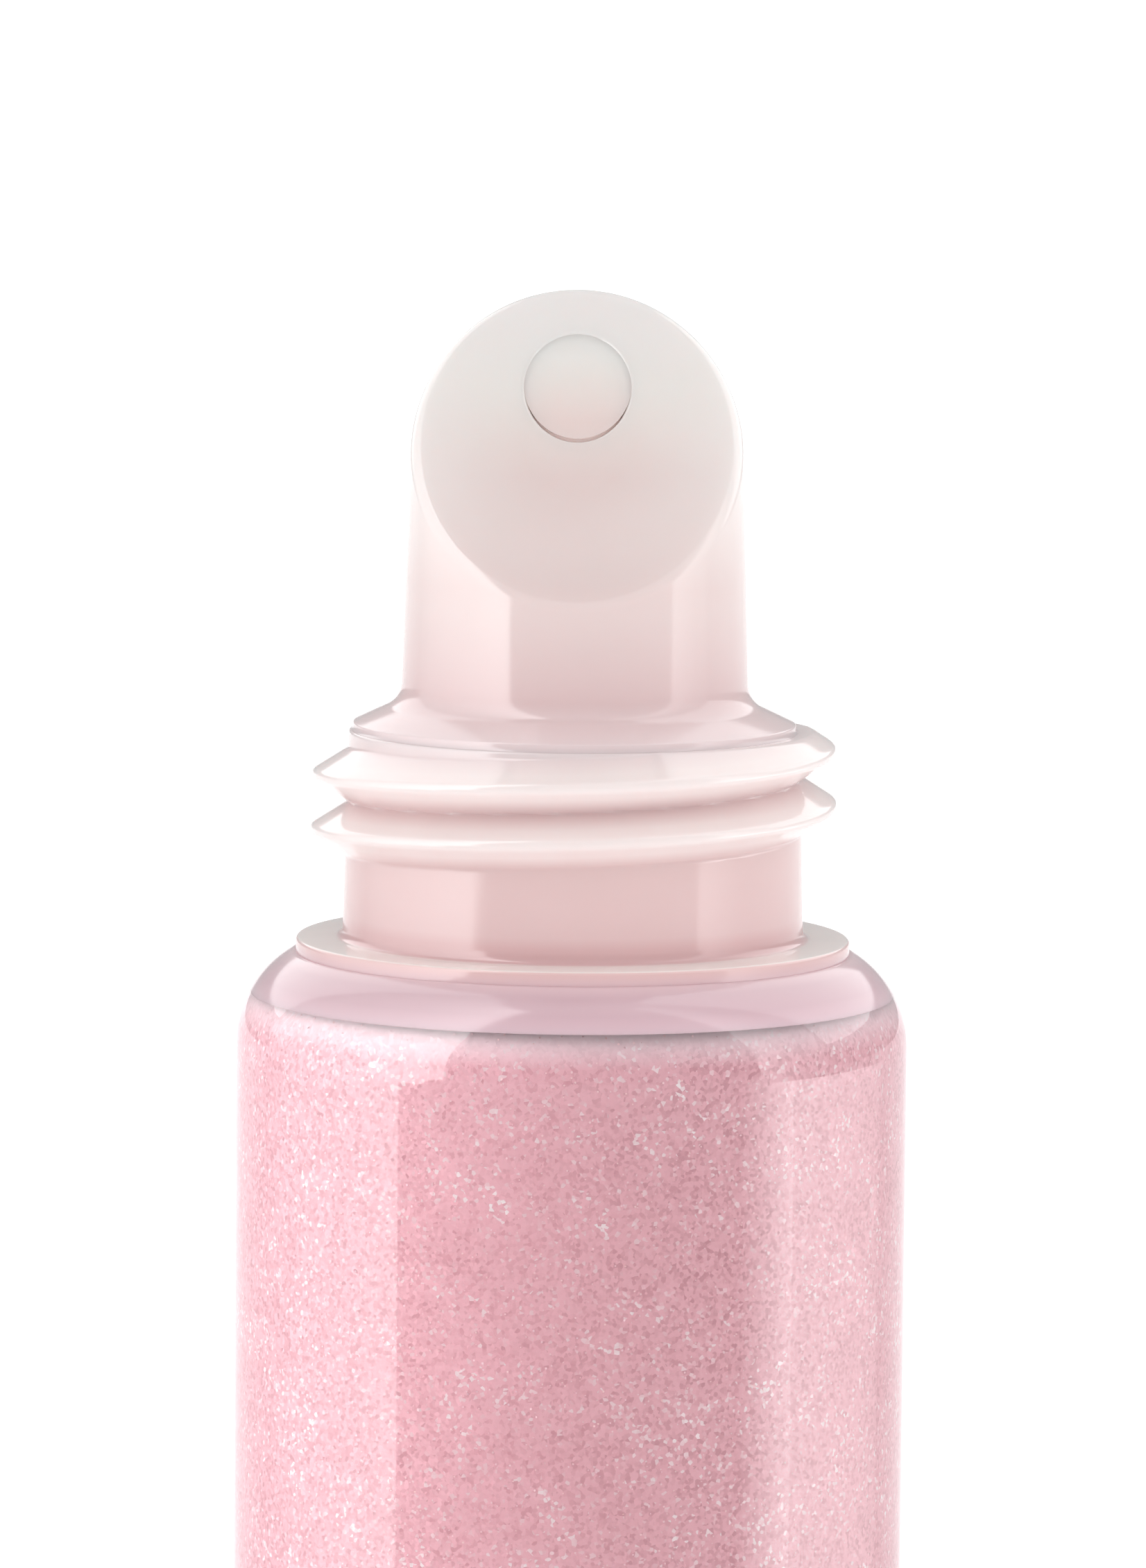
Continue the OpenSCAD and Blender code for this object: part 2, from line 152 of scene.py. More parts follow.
class Graph:
    """Short hand for wiring one node tree, of a material, the world or Geometry Nodes."""

    def __init__(self, tree: NodeTree) -> None:
        """Starts from an emptied tree."""
        self.tree = tree
        tree.nodes.clear()

    def plug(self, socket: NodeSocket, value: object) -> None:
        """Sets an input: links a wire or a socket to it, or gives it a plain value."""
        if isinstance(value, Wire):
            value = value.socket
        if isinstance(value, NodeSocket):
            self.tree.links.new(value, socket)
        else:
            socket.default_value = value

    def add(self, kind: str, inputs: dict | None = None, **settings: object) -> Node:
        """Adds a node.

        Args:
            kind: the node's type.
            inputs: what goes into its sockets, by name or number.
            settings: the node's own properties.

        Returns:
            The node.
        """
        node = self.tree.nodes.new(kind)
        for name, value in settings.items():
            setattr(node, name, value)
        self.feed(node, inputs or {})
        return node

    def feed(self, node: Node, inputs: dict) -> None:
        """Sets several inputs of a node, by name or number."""
        for name, value in inputs.items():
            self.plug(node.inputs[name], value)

    def wire(self, kind: str, output: str | int, inputs: dict | None = None,
             **settings: object) -> Wire:
        """Adds a node and returns one of its outputs as a number."""
        return Wire(self, self.add(kind, inputs, **settings).outputs[output])

    def math(self, operation: str, *values: Number) -> Wire:
        """Adds a Math node on up to three values."""
        node = self.add("ShaderNodeMath", dict(enumerate(values)), operation=operation)
        return Wire(self, node.outputs[0])

    def split(self, vector: NodeSocket) -> tuple[Wire, Wire, Wire]:
        """The three parts of a vector, each as a number."""
        node = self.add("ShaderNodeSeparateXYZ", {0: vector})
        return tuple(Wire(self, output) for output in node.outputs)

    def vector(self, *parts: Number) -> NodeSocket:
        """A vector made of three numbers."""
        return self.add("ShaderNodeCombineXYZ", dict(enumerate(parts))).outputs[0]

    def vectors(self, how: str, first: object, second: object = None) -> NodeSocket:
        """Adds a Vector Math node; SCALE takes a number second, and NORMALIZE nothing."""
        inputs = {0: first}
        if second is not None:
            inputs["Scale" if how == "SCALE" else 1] = second
        return self.add("ShaderNodeVectorMath", inputs, operation=how).outputs[0]

    def ramp(self, share: Wire, stops: Iterable[tuple[float, Colour]]) -> NodeSocket:
        """A colour ramp.

        Args:
            share: where along the ramp, 0 to 1.
            stops: each stop's place and linear colour.

        Returns:
            The colour socket.
        """
        node = self.add("ShaderNodeValToRGB", {0: share})
        elements, stops = node.color_ramp.elements, list(stops)
        while len(elements) < len(stops):
            elements.new(0.5)
        for element, (place, colour) in zip(elements, stops):
            element.position, element.color = place, colour
        return node.outputs[0]

    def blend(self, share: Wire, first: object, second: object) -> NodeSocket:
        """Mixes two colours by a share and returns the colour socket."""
        node = self.add("ShaderNodeMix", data_type="RGBA", blend_type="MIX")
        self.feed(node, {0: share, 6: first, 7: second})
        return node.outputs[2]


class ShapeTree(Graph):
    """A Geometry Nodes tree with named inputs, run once on an object."""

    KINDS = {float: "NodeSocketFloat", int: "NodeSocketInt", Material: "NodeSocketMaterial"}

    def __init__(self, name: str, inputs: dict[str, object]) -> None:
        """Makes the tree with an input for each named size.

        Args:
            name: the tree's name.
            inputs: each input's name and value.
        """
        tree = bpy.data.node_groups.new(name, "GeometryNodeTree")
        tree.is_modifier = True
        super().__init__(tree)
        face = tree.interface
        face.new_socket("Geometry", in_out="INPUT", socket_type="NodeSocketGeometry")
        face.new_socket("Geometry", in_out="OUTPUT", socket_type="NodeSocketGeometry")
        self.values = inputs
        self.keys = {}
        for label, value in inputs.items():
            socket = face.new_socket(label, in_out="INPUT", socket_type=self.KINDS[type(value)])
            self.keys[label] = socket.identifier
        self.entry = self.add("NodeGroupInput")
        self.geometry = self.entry.outputs["Geometry"]

    def size(self, label: str) -> Wire:
        """One of the tree's named inputs."""
        return Wire(self, self.entry.outputs[label])

    def place(self) -> tuple[Wire, Wire, Wire]:
        """Each vertex's place, in millimetres."""
        spot = self.add("GeometryNodeInputPosition").outputs[0]
        return self.split(self.vectors("SCALE", spot, 1 / MM))

    def metres(self, *parts: Number) -> NodeSocket:
        """A vector in metres from three numbers in millimetres."""
        return self.vectors("SCALE", self.vector(*parts), MM)

    def close(self, geometry: NodeSocket) -> None:
        """Ends the tree with Realize Instances and Set Material."""
        real = self.add("GeometryNodeRealizeInstances", {0: geometry})
        dressed = self.add("GeometryNodeSetMaterial", {"Geometry": real.outputs[0],
                                                      "Material": self.size("Material")})
        self.add("NodeGroupOutput", {0: dressed.outputs[0]})

    def run(self, obj: Object) -> Mesh:
        """Runs the tree on an object and returns the result as a plain mesh."""
        modifier = obj.modifiers.new(self.tree.name, "NODES")
        modifier.node_group = self.tree
        for label, value in self.values.items():
            modifier[self.keys[label]] = value
        graph = bpy.context.evaluated_depsgraph_get()
        mesh = bpy.data.meshes.new_from_object(obj.evaluated_get(graph), depsgraph=graph)
        obj.modifiers.remove(modifier)
        return mesh

    def grow(self) -> Mesh:
        """Runs the tree by itself, on an object it doesn't need, and returns its mesh."""
        holder = linked(self.tree.name, bpy.data.meshes.new(self.tree.name))
        mesh = self.run(holder)
        bpy.data.objects.remove(holder)
        return mesh


def linked(name: str, data: bpy.types.ID) -> Object:
    """A new object in the scene."""
    obj = bpy.data.objects.new(name, data)
    bpy.context.scene.collection.objects.link(obj)
    return obj


def blank(name: str) -> tuple[Material, Graph]:
    """A new material and its emptied tree."""
    material = bpy.data.materials.new(name)
    material.use_nodes = True
    return material, Graph(material.node_tree)


# ---------------------------------------------------------------- mesh making


def rounded(corners: Sequence[tuple[float, ...]], steps: int = 5) -> list[Point]:
    """Turns corners into an outline with filleted corners.

    Args:
        corners: radius, height and, where the corner is rounded, its fillet radius.
        steps: edges in each fillet.

    Returns:
        The outline's points.
    """
    outline: list[Point] = []
    count = len(corners)
    for i, corner in enumerate(corners):
        here = np.array(corner[:2], float)
        if len(corner) < 3 or corner[2] <= 0:
            outline.append(tuple(here))
            continue
        before = np.array(corners[i - 1][:2], float) - here
        after = np.array(corners[(i + 1) % count][:2], float) - here
        before /= np.linalg.norm(before)
        after /= np.linalg.norm(after)
        half = math.acos(max(-1.0, min(1.0, float(before @ after)))) / 2
        middle = before + after
        centre = here + middle / np.linalg.norm(middle) * corner[2] / math.sin(half)
        start = here + before * corner[2] / math.tan(half) - centre
        end = here + after * corner[2] / math.tan(half) - centre
        turn = math.atan2(start[0] * end[1] - start[1] * end[0], float(start @ end))
        for k in range(steps + 1):
            a = turn * k / steps
            outline.append((centre[0] + start[0] * math.cos(a) - start[1] * math.sin(a),
                            centre[1] + start[0] * math.sin(a) + start[1] * math.cos(a)))
    return outline


def arc(centre: Point, radius: float, start: float, end: float, steps: int) -> list[Point]:
    """Points of an arc, its angles in degrees."""
    angles = np.radians(np.linspace(start, end, steps + 1))
    return [(centre[0] + radius * math.cos(a), centre[1] + radius * math.sin(a)) for a in angles]


def dense(start: Point, end: Point, step: float) -> list[Point]:
    """Points from start to end, no further apart than step, without the end itself."""
    count = max(1, math.ceil(math.dist(start, end) / step))
    return [(start[0] + (end[0] - start[0]) * k / count, start[1] + (end[1] - start[1]) * k / count)
            for k in range(count)]


def lofted(rings: Sequence[np.ndarray], closed: bool) -> Skin:
    """Skins rings of equal size.

    Args:
        rings: each ring's points; a ring of one point is a pole.
        closed: whether the last ring joins the first.

    Returns:
        The vertices and the faces.
    """
    starts = np.cumsum([0] + [len(ring) for ring in rings])
    faces: list[tuple[int, ...]] = []
    pairs = [(k, k + 1) for k in range(len(rings) - 1)] + ([(len(rings) - 1, 0)] if closed else [])
    for low, high in pairs:
        a, b, na, nb = starts[low], starts[high], len(rings[low]), len(rings[high])
        if na == 1 and nb == 1:
            continue
        for i in range(max(na, nb)):
            j = (i + 1) % max(na, nb)
            if na == 1:
                faces.append((a, b + j, b + i))
            elif nb == 1:
                faces.append((a + i, a + j, b))
            else:
                faces.append((a + i, a + j, b + j, b + i))
    return np.vstack(rings), faces


def turned(outline: Sequence[Point], sides: int = SIDES, closed: bool = True
           ) -> Skin:
    """Turns an outline of radius and height round the tube's axis.

    Args:
        outline: the points, in millimetres.
        sides: how many round the axis.
        closed: whether the outline joins its own start.

    Returns:
        The vertices and the faces.
    """
    angles = np.arange(sides) * 2 * math.pi / sides
    rings = []
    for radius, height in outline:
        if radius < 1e-6:
            rings.append(np.array([[0.0, 0.0, height]]))
        else:
            rings.append(np.column_stack([radius * np.cos(angles), radius * np.sin(angles),
                                          np.full(sides, height)]))
    return lofted(rings, closed)


def piece(name: str, parts: Iterable[tuple[np.ndarray, list]], smooth_below: float = SMOOTH_BELOW
          ) -> Object:
    """Makes one object from skins given in millimetres.

    Args:
        name: the object's name.
        parts: vertices and faces of each skin.
        smooth_below: edges that turn by less than this many degrees are shaded smooth.

    Returns:
        The object, its normals outwards, in metres.
    """
    vertices: list = []
    faces: list = []
    for points, skin in parts:
        start = len(vertices)
        vertices.extend((points * MM).tolist())
        faces.extend(tuple(int(i) + start for i in face) for face in skin)
    mesh = bpy.data.meshes.new(name)
    mesh.from_pydata(vertices, [], faces)
    return tidy(linked(name, mesh), smooth_below)


def tidy(obj: Object, smooth_below: float = SMOOTH_BELOW) -> Object:
    """Welds a mesh's doubles, points its faces outwards and sets its shading."""
    work = bmesh.new()
    work.from_mesh(obj.data)
    bmesh.ops.remove_doubles(work, verts=work.verts, dist=WELD_M)
    bmesh.ops.dissolve_degenerate(work, edges=work.edges, dist=SLIVER_M)
    bmesh.ops.recalc_face_normals(work, faces=work.faces)
    work.to_mesh(obj.data)
    work.free()
    obj.data.shade_smooth()
    obj.data.set_sharp_from_angle(angle=math.radians(smooth_below))
    obj.data.update()
    return obj


def mount(obj: Object, body: Body, slot: str, material: Material,
          *nodes: str) -> Object:
    """Dresses a finished piece and hangs it on the frame.

    Args:
        obj: the piece, in place.
        body: the body it moves with.
        slot: the record's material slot; not used.
        material: its finish.
        nodes: the CAD nodes it stands for.

    Returns:
        The piece.
    """
    obj.data.materials.clear()
    obj.data.materials.append(material)
    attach(obj, body.value)
    if nodes:
        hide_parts(*nodes)
    LOG.info("%s: %d faces on %s", obj.name, len(obj.data.polygons), body.value)
    return obj


# ---------------------------------------------------------------- finishes


@dataclass(frozen=True)
class Finish:
    """What every finish shares: a name and a principled shader."""

    name: str

    def start(self) -> tuple[Material, Graph, Node]:
        """Makes the empty material.

        Returns:
            The material, its tree and its principled shader.
        """
        material, graph = blank(self.name)
        shader = graph.add("ShaderNodeBsdfPrincipled")
        graph.add("ShaderNodeOutputMaterial", {"Surface": shader.outputs[0]})
        return material, graph, shader

    @staticmethod
    def spot(graph: Graph) -> NodeSocket:
        """The place on the piece, in metres."""
        return graph.add("ShaderNodeTexCoord").outputs["Object"]

    @staticmethod
    def noise(graph: Graph, size_mm: float, detail: float = 2.0) -> Wire:
        """Soft noise whose lumps are about size_mm across."""
        return graph.wire("ShaderNodeTexNoise", 0, {"Vector": Finish.spot(graph),
                                                    "Scale": 1 / (size_mm * MM), "Detail": detail})

    @staticmethod
    def grains(graph: Graph, size_mm: float) -> Node:
        """Cells about size_mm across, each with its own random colour."""
        return graph.add("ShaderNodeTexVoronoi", {"Vector": Finish.spot(graph),
                                                  "Scale": 1 / (size_mm * MM)})

    @staticmethod
    def bump(graph: Graph, shader: Node, height: Wire, depth_mm: float) -> None:
        """Gives a shader a bump of a given depth."""
        node = graph.add("ShaderNodeBump", {"Height": height, "Distance": depth_mm * MM, "Strength": 1.0})
        graph.plug(shader.inputs["Normal"], node.outputs[0])


@dataclass(frozen=True)
class ClearPlastic(Finish):
    """Clear, glossy plastic with the faint waviness of an extruded or moulded wall."""

    tint: Colour = (1.0, 0.985, 0.988, 1.0)
    roughness: float = 0.02
    ior: float = 1.49
    wave_mm: float = 4.0
    wave_depth_mm: float = 0.006
    uneven: float = 0.03
    patch_mm: float = 1.2

    def build(self) -> Material:
        """Makes the material."""
        material, graph, shader = self.start()
        graph.feed(shader, {"Base Color": self.tint, "Transmission Weight": 1.0, "IOR": self.ior,
                            "Roughness": self.roughness + self.uneven * self.noise(graph, self.patch_mm)})
        self.bump(graph, shader, self.noise(graph, self.wave_mm, 0.0), self.wave_depth_mm)
        return material


@dataclass(frozen=True)
class ShimmerGel(Finish):
    """Pink gel packed with fine shimmer: each grain has its own brightness and tilt."""

    deep: Colour = linear(208, 148, 159)
    mid: Colour = linear(236, 182, 192)
    pale: Colour = linear(255, 250, 250)
    # Pale veil at the weld: the frosted band without shimmer, made lighter as painted light against the shade
    # under the head
    veil_painted_light: Colour = linear(255, 234, 240)
    veil_foot: float = 59.9
    veil_top: float = 60.8
    grain_mm: float = 0.1
    tilt: float = 0.45
    chance_share: float = 0.85
    cloud_share: float = 0.5
    cloud_mm: float = 1.6
    darker: float = 0.19
    metallic: float = 0.12
    roughness: float = 0.34
    sparkle: float = 0.25

    def build(self) -> Material:
        """Makes the material."""
        material, graph, shader = self.start()
        grains = self.grains(graph, self.grain_mm).outputs["Color"]
        chance, lean, _ = graph.split(grains)
        cloud = self.noise(graph, self.cloud_mm, 3.0)
        share = (chance * self.chance_share + cloud * self.cloud_share - self.darker).clamped()
        colour = graph.ramp(share, [(0.0, self.deep), (0.5, self.mid), (0.8, self.mid), (1.0, self.pale)])
        veiled = graph.split(self.spot(graph))[2].share_mm(self.veil_foot, self.veil_top)
        tilted = graph.vectors("SCALE", graph.vectors("SUBTRACT", grains, (0.5, 0.5, 0.5)),
                               self.tilt * (1.0 - veiled))
        normal = graph.vectors("ADD", graph.add("ShaderNodeNewGeometry").outputs["Normal"], tilted)
        # Between veil_foot and veil_top the gel blends into the pale veil, partly painted light
        graph.feed(shader, {"Base Color": graph.blend(veiled, colour, self.veil_painted_light),
                            "Metallic": self.metallic, "Roughness": self.roughness + self.sparkle * lean,
                            "Normal": graph.vectors("NORMALIZE", normal)})
        return material


@dataclass(frozen=True)
class FlakeFoil(Finish):
    """Pearly foil of the larger glitter flakes."""

    warm: Colour = linear(250, 214, 215)
    cool: Colour = linear(246, 212, 221)
    patch_mm: float = 0.6
    fine_mm: float = 0.3
    metallic: float = 0.1
    roughness: float = 0.25
    uneven: float = 0.1

    def build(self) -> Material:
        """Makes the material."""
        material, graph, shader = self.start()
        tone = graph.ramp(self.noise(graph, self.patch_mm), [(0.35, self.warm), (0.65, self.cool)])
        graph.feed(shader, {"Base Color": tone, "Metallic": self.metallic,
                            "Roughness": self.roughness + self.uneven * self.noise(graph, self.fine_mm)})
        return material


@dataclass(frozen=True)
class MilkyPlastic(Finish):
    """Translucent moulded plastic: its colour changes up the piece, and thick walls look whiter.

    Where shimmer_gone lies above shimmer_full, the gloss behind the wall shows through it as grains
    that fade out between those two heights.
    """

    by_height: Tones = ()
    low: float = 0.0
    high: float = 1.0
    thick_colour: Colour = linear(244, 232, 230)
    thin_r: float = 6.35
    thick_r: float = 7.0
    thick_above: float = 0.0
    thick_soft: float = 0.05
    shimmer_full: float = 0.0
    shimmer_gone: float = 0.0
    grain_mm: float = 0.11
    grain_contrast: float = 0.5
    roughness: float = 0.09
    depth_mm: float = 0.8
    scatter: float = 0.3
    swell_mm: float = 3.0
    swell_depth_mm: float = 0.012
    patchy: float = 0.2
    mottle: float = 0.04
    uneven: float = 0.05
    grain_mean: float = 0.45
    scatter_rgb: Colour = (1.0, 0.7, 0.65)
    ior: float = 1.5

    def build(self) -> Material:
        """Makes the material."""
        material, graph, shader = self.start()
        x, y, z = graph.split(self.spot(graph))
        out = graph.math("SQRT", x * x + y * y)
        base = graph.ramp(z.share_mm(self.low, self.high),
                          [(place, linear(*tone)) for place, tone in self.by_height])
        above = ((z - self.thick_above * MM) / (self.thick_soft * MM)).clamped()
        thick = out.share_mm(self.thin_r, self.thick_r) * above
        patches = 1 - self.patchy + self.patchy * self.noise(graph, 1.5)
        colour = graph.blend(thick * patches, base, self.thick_colour)
        strength = 1 - self.mottle / 2 + self.mottle * self.noise(graph, 2.5)
        if self.shimmer_gone > self.shimmer_full:
            chance, _, _ = graph.split(self.grains(graph, self.grain_mm).outputs["Color"])
            shown = z.share_mm(self.shimmer_gone, self.shimmer_full)
            strength = strength + shown * (chance - self.grain_mean) * self.grain_contrast
        graph.feed(shader, {"Base Color": graph.vectors("SCALE", colour, strength),
                            "Roughness": self.roughness + self.uneven * self.noise(graph, 2.0, 0.0),
                            "Subsurface Weight": self.scatter, "Subsurface Radius": self.scatter_rgb,
                            "Subsurface Scale": self.depth_mm * MM, "IOR": self.ior})
        self.bump(graph, shader, self.noise(graph, self.swell_mm, 0.0), self.swell_depth_mm)
        return material


@dataclass(frozen=True)
class SoftFoam(Finish):
    """Fine closed foam of the washer."""

    colour: Colour = linear(247, 246, 243)
    shade: Colour = linear(226, 224, 220)
    cell_mm: float = 0.12
    cell_depth_mm: float = 0.03
    roughness: float = 0.7

    def build(self) -> Material:
        """Makes the material."""
        material, graph, shader = self.start()
        share = Wire(graph, self.grains(graph, self.cell_mm).outputs["Distance"])
        graph.feed(shader, {"Base Color": graph.ramp(share, [(0.0, self.shade), (0.6, self.colour)]),
                            "Roughness": self.roughness})
        self.bump(graph, shader, share, self.cell_depth_mm)
        return material


# ---------------------------------------------------------------- the tube


@dataclass
class Levels:
    """Heights of the frame's pieces, in millimetres."""

    weld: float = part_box("sleeve")[1].z / MM
    lip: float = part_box("neck_and_shoulder")[0].z / MM
    seat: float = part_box("neck_and_shoulder")[1].z / MM
    tip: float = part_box("applicator_tip")[1].z / MM
    plug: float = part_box("applicator_tip")[0].z / MM
    rim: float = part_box("cap_shell")[0].z / MM
    cap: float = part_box("cap_shell")[1].z / MM
    liner_foot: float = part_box("cap_liner")[0].z / MM
    liner_top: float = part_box("cap_liner")[1].z / MM
    washer_foot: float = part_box("cap_washer")[0].z / MM
    washer_top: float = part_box("cap_washer")[1].z / MM


@dataclass
class BagRule:
    """How the round sleeve flattens towards its crimped end."""

    taper_top: float = 40.0
    seal_h: float = 5.0
    soft_start: float = 0.15
    fullness: float = 0.8
    squareness: float = 0.5
    crimp_pitch: float = 0.8
    crimp_depth: float = 0.07
    rows: int = 130

    def skin(self, name: str, radius: float, end: float, foot: float, top: float,
             material: Material, crimped: bool) -> Mesh:
        """Makes one skin of the bag, open at its top, by Geometry Nodes.

        Args:
            name: the tree's name.
            radius: the round part's radius.
            end: half the thickness at the flat end.
            foot: height of the skin's lower edge.
            top: height of its open upper edge.
            material: its finish.
            crimped: whether the seal's ridges are pressed into it.

        Returns:
            The skin's mesh.
        """
        tree = ShapeTree(name, {
            "Radius": radius, "End half thickness": end, "Foot": foot, "Top": top,
            "Taper top": self.taper_top, "Seal height": self.seal_h, "Soft start": self.soft_start,
            "Fullness": self.fullness, "Squareness": self.squareness,
            "Crimp pitch": self.crimp_pitch, "Crimp depth": self.crimp_depth if crimped else 0.0,
            "Sides": SIDES, "Rows": self.rows, "Material": material})
        size = tree.size
        grid = tree.add("GeometryNodeMeshGrid", {"Size X": 1.0, "Size Y": 1.0,
                                                 "Vertices X": size("Sides") + 1.0,
                                                 "Vertices Y": size("Rows")})
        u, v, _ = tree.split(tree.add("GeometryNodeInputPosition").outputs[0])
        angle = (u + 0.5) * (2 * math.pi)
        row = 1.0 / (size("Rows") - 1.0)
        up = ((v + 0.5 - row) / (1.0 - row)).clamped()
        open_share = ((v + 0.5) / row * 2.0 - 1.0).clamped()
        z = size("Foot") + up * (size("Top") - size("Foot"))
        t = ((size("Taper top") - z) / (size("Taper top") - size("Seal height"))).clamped()
        soft = size("Soft start")

        def bend(share: Number) -> Wire:
            """How far the section has flattened at a share of the taper."""
            return tree.math("SQRT", soft * soft + share * share) - soft

        squash = bend(t) / bend(1.0)
        girth_power = math.log(2) / math.log(math.pi / 2)
        thin = size("End half thickness") + (size("Radius") - size("End half thickness")) * (
            (1.0 - squash).clamped() ** size("Fullness"))
        wide = ((size("Radius") * (math.pi / 2)) ** girth_power - thin ** girth_power) ** (1 / girth_power)
        square = 1.0 - size("Squareness") * squash * squash * squash
        in_seal = ((size("Seal height") - z) * 2.0).clamped() * (z * 4.0).clamped()
        crimp = size("Crimp depth") * in_seal * (
            0.5 - 0.5 * tree.math("COSINE", z * (2 * math.pi) / size("Crimp pitch")))

        def stretched(part: Wire) -> Wire:
            """A cosine or sine made squarer, with its sign kept."""
            return tree.math("SIGN", part) * tree.math("ABSOLUTE", part) ** square

        x = wide * stretched(tree.math("COSINE", angle))
        y = (thin - crimp) * open_share * stretched(tree.math("SINE", angle))
        shaped = tree.add("GeometryNodeSetPosition", {"Geometry": grid.outputs["Mesh"],
                                                      "Position": tree.metres(x, y, z)})
        merged = tree.add("GeometryNodeMergeByDistance", {"Geometry": shaped.outputs[0],
                                                          "Distance": WELD_M})
        tree.close(merged.outputs[0])
        return tree.grow()


def as_skin(mesh: Mesh) -> Skin:
    """A mesh as vertices in millimetres and faces."""
    points = np.empty(len(mesh.vertices) * 3)
    mesh.vertices.foreach_get("co", points)
    return points.reshape(-1, 3) / MM, [tuple(p.vertices) for p in mesh.polygons]


@dataclass
class Thread:
    """A single-start ridge raised from a round wall, or lowered from a bore."""

    top_z: float
    top_angle: float
    turns: float
    height: float
    crest_half: float
    wall_r: float
    inwards: bool = False
    pitch: float = 1.55
    flank: float = 0.6413
    runout: float = 30.0
    soft: float = 0.12

    def raise_on(self, obj: Object, low: float, high: float, margin: float) -> None:
        """Raises the ridge on the wall between two heights, by Geometry Nodes.

        Args:
            obj: the piece with the wall, finely ringed.
            low: lowest height that moves.
            high: highest height that moves.
            margin: how far from the wall's radius a vertex may lie and still move.
        """
        tree = ShapeTree(f"raise_thread_{obj.name}", {
            "Pitch": self.pitch, "Turns": self.turns, "Height": self.height,
            "Crest half": self.crest_half, "Flank": self.flank, "Top": self.top_z,
            "Top angle": math.radians(self.top_angle), "Run-out": self.runout / 360,
            "Wall radius": self.wall_r, "Margin": margin, "Low": low, "High": high,
            "Material": obj.data.materials[0]})
        size = tree.size
        x, y, z = tree.place()
        r = tree.math("SQRT", x * x + y * y)
        start = tree.math("FRACT", (size("Top angle") - tree.math("ARCTAN2", y, x)) / (2 * math.pi) + 1.0)
        winding = (size("Top") - z) / size("Pitch")
        turn = start + tree.math("ROUND", winding - start)
        ends = (tree.math("MINIMUM", turn, size("Turns") - turn) / size("Run-out")).clamped()
        away = tree.math("ABSOLUTE", winding - turn) * size("Pitch")
        slope = size("Height") + self.soft * 0.5 - (away - size("Crest half")) / size("Flank")
        crest = tree.math("SMOOTH_MIN", slope, size("Height"), self.soft)
        ridge = tree.math("SMOOTH_MAX", crest, 0.0, self.soft * 0.6) * ends
        near = tree.math("LESS_THAN", tree.math("ABSOLUTE", r - size("Wall radius")), size("Margin"))
        inside = tree.math("GREATER_THAN", z, size("Low")) * tree.math("LESS_THAN", z, size("High"))
        push = ridge * near * inside * (-1.0 if self.inwards else 1.0) / tree.math("MAXIMUM", r, 0.01)
        moved = tree.add("GeometryNodeSetPosition", {"Geometry": tree.geometry,
                                                     "Offset": tree.metres(x * push, y * push, 0.0)})
        tree.close(moved.outputs[0])
        obj.data = tree.run(obj)


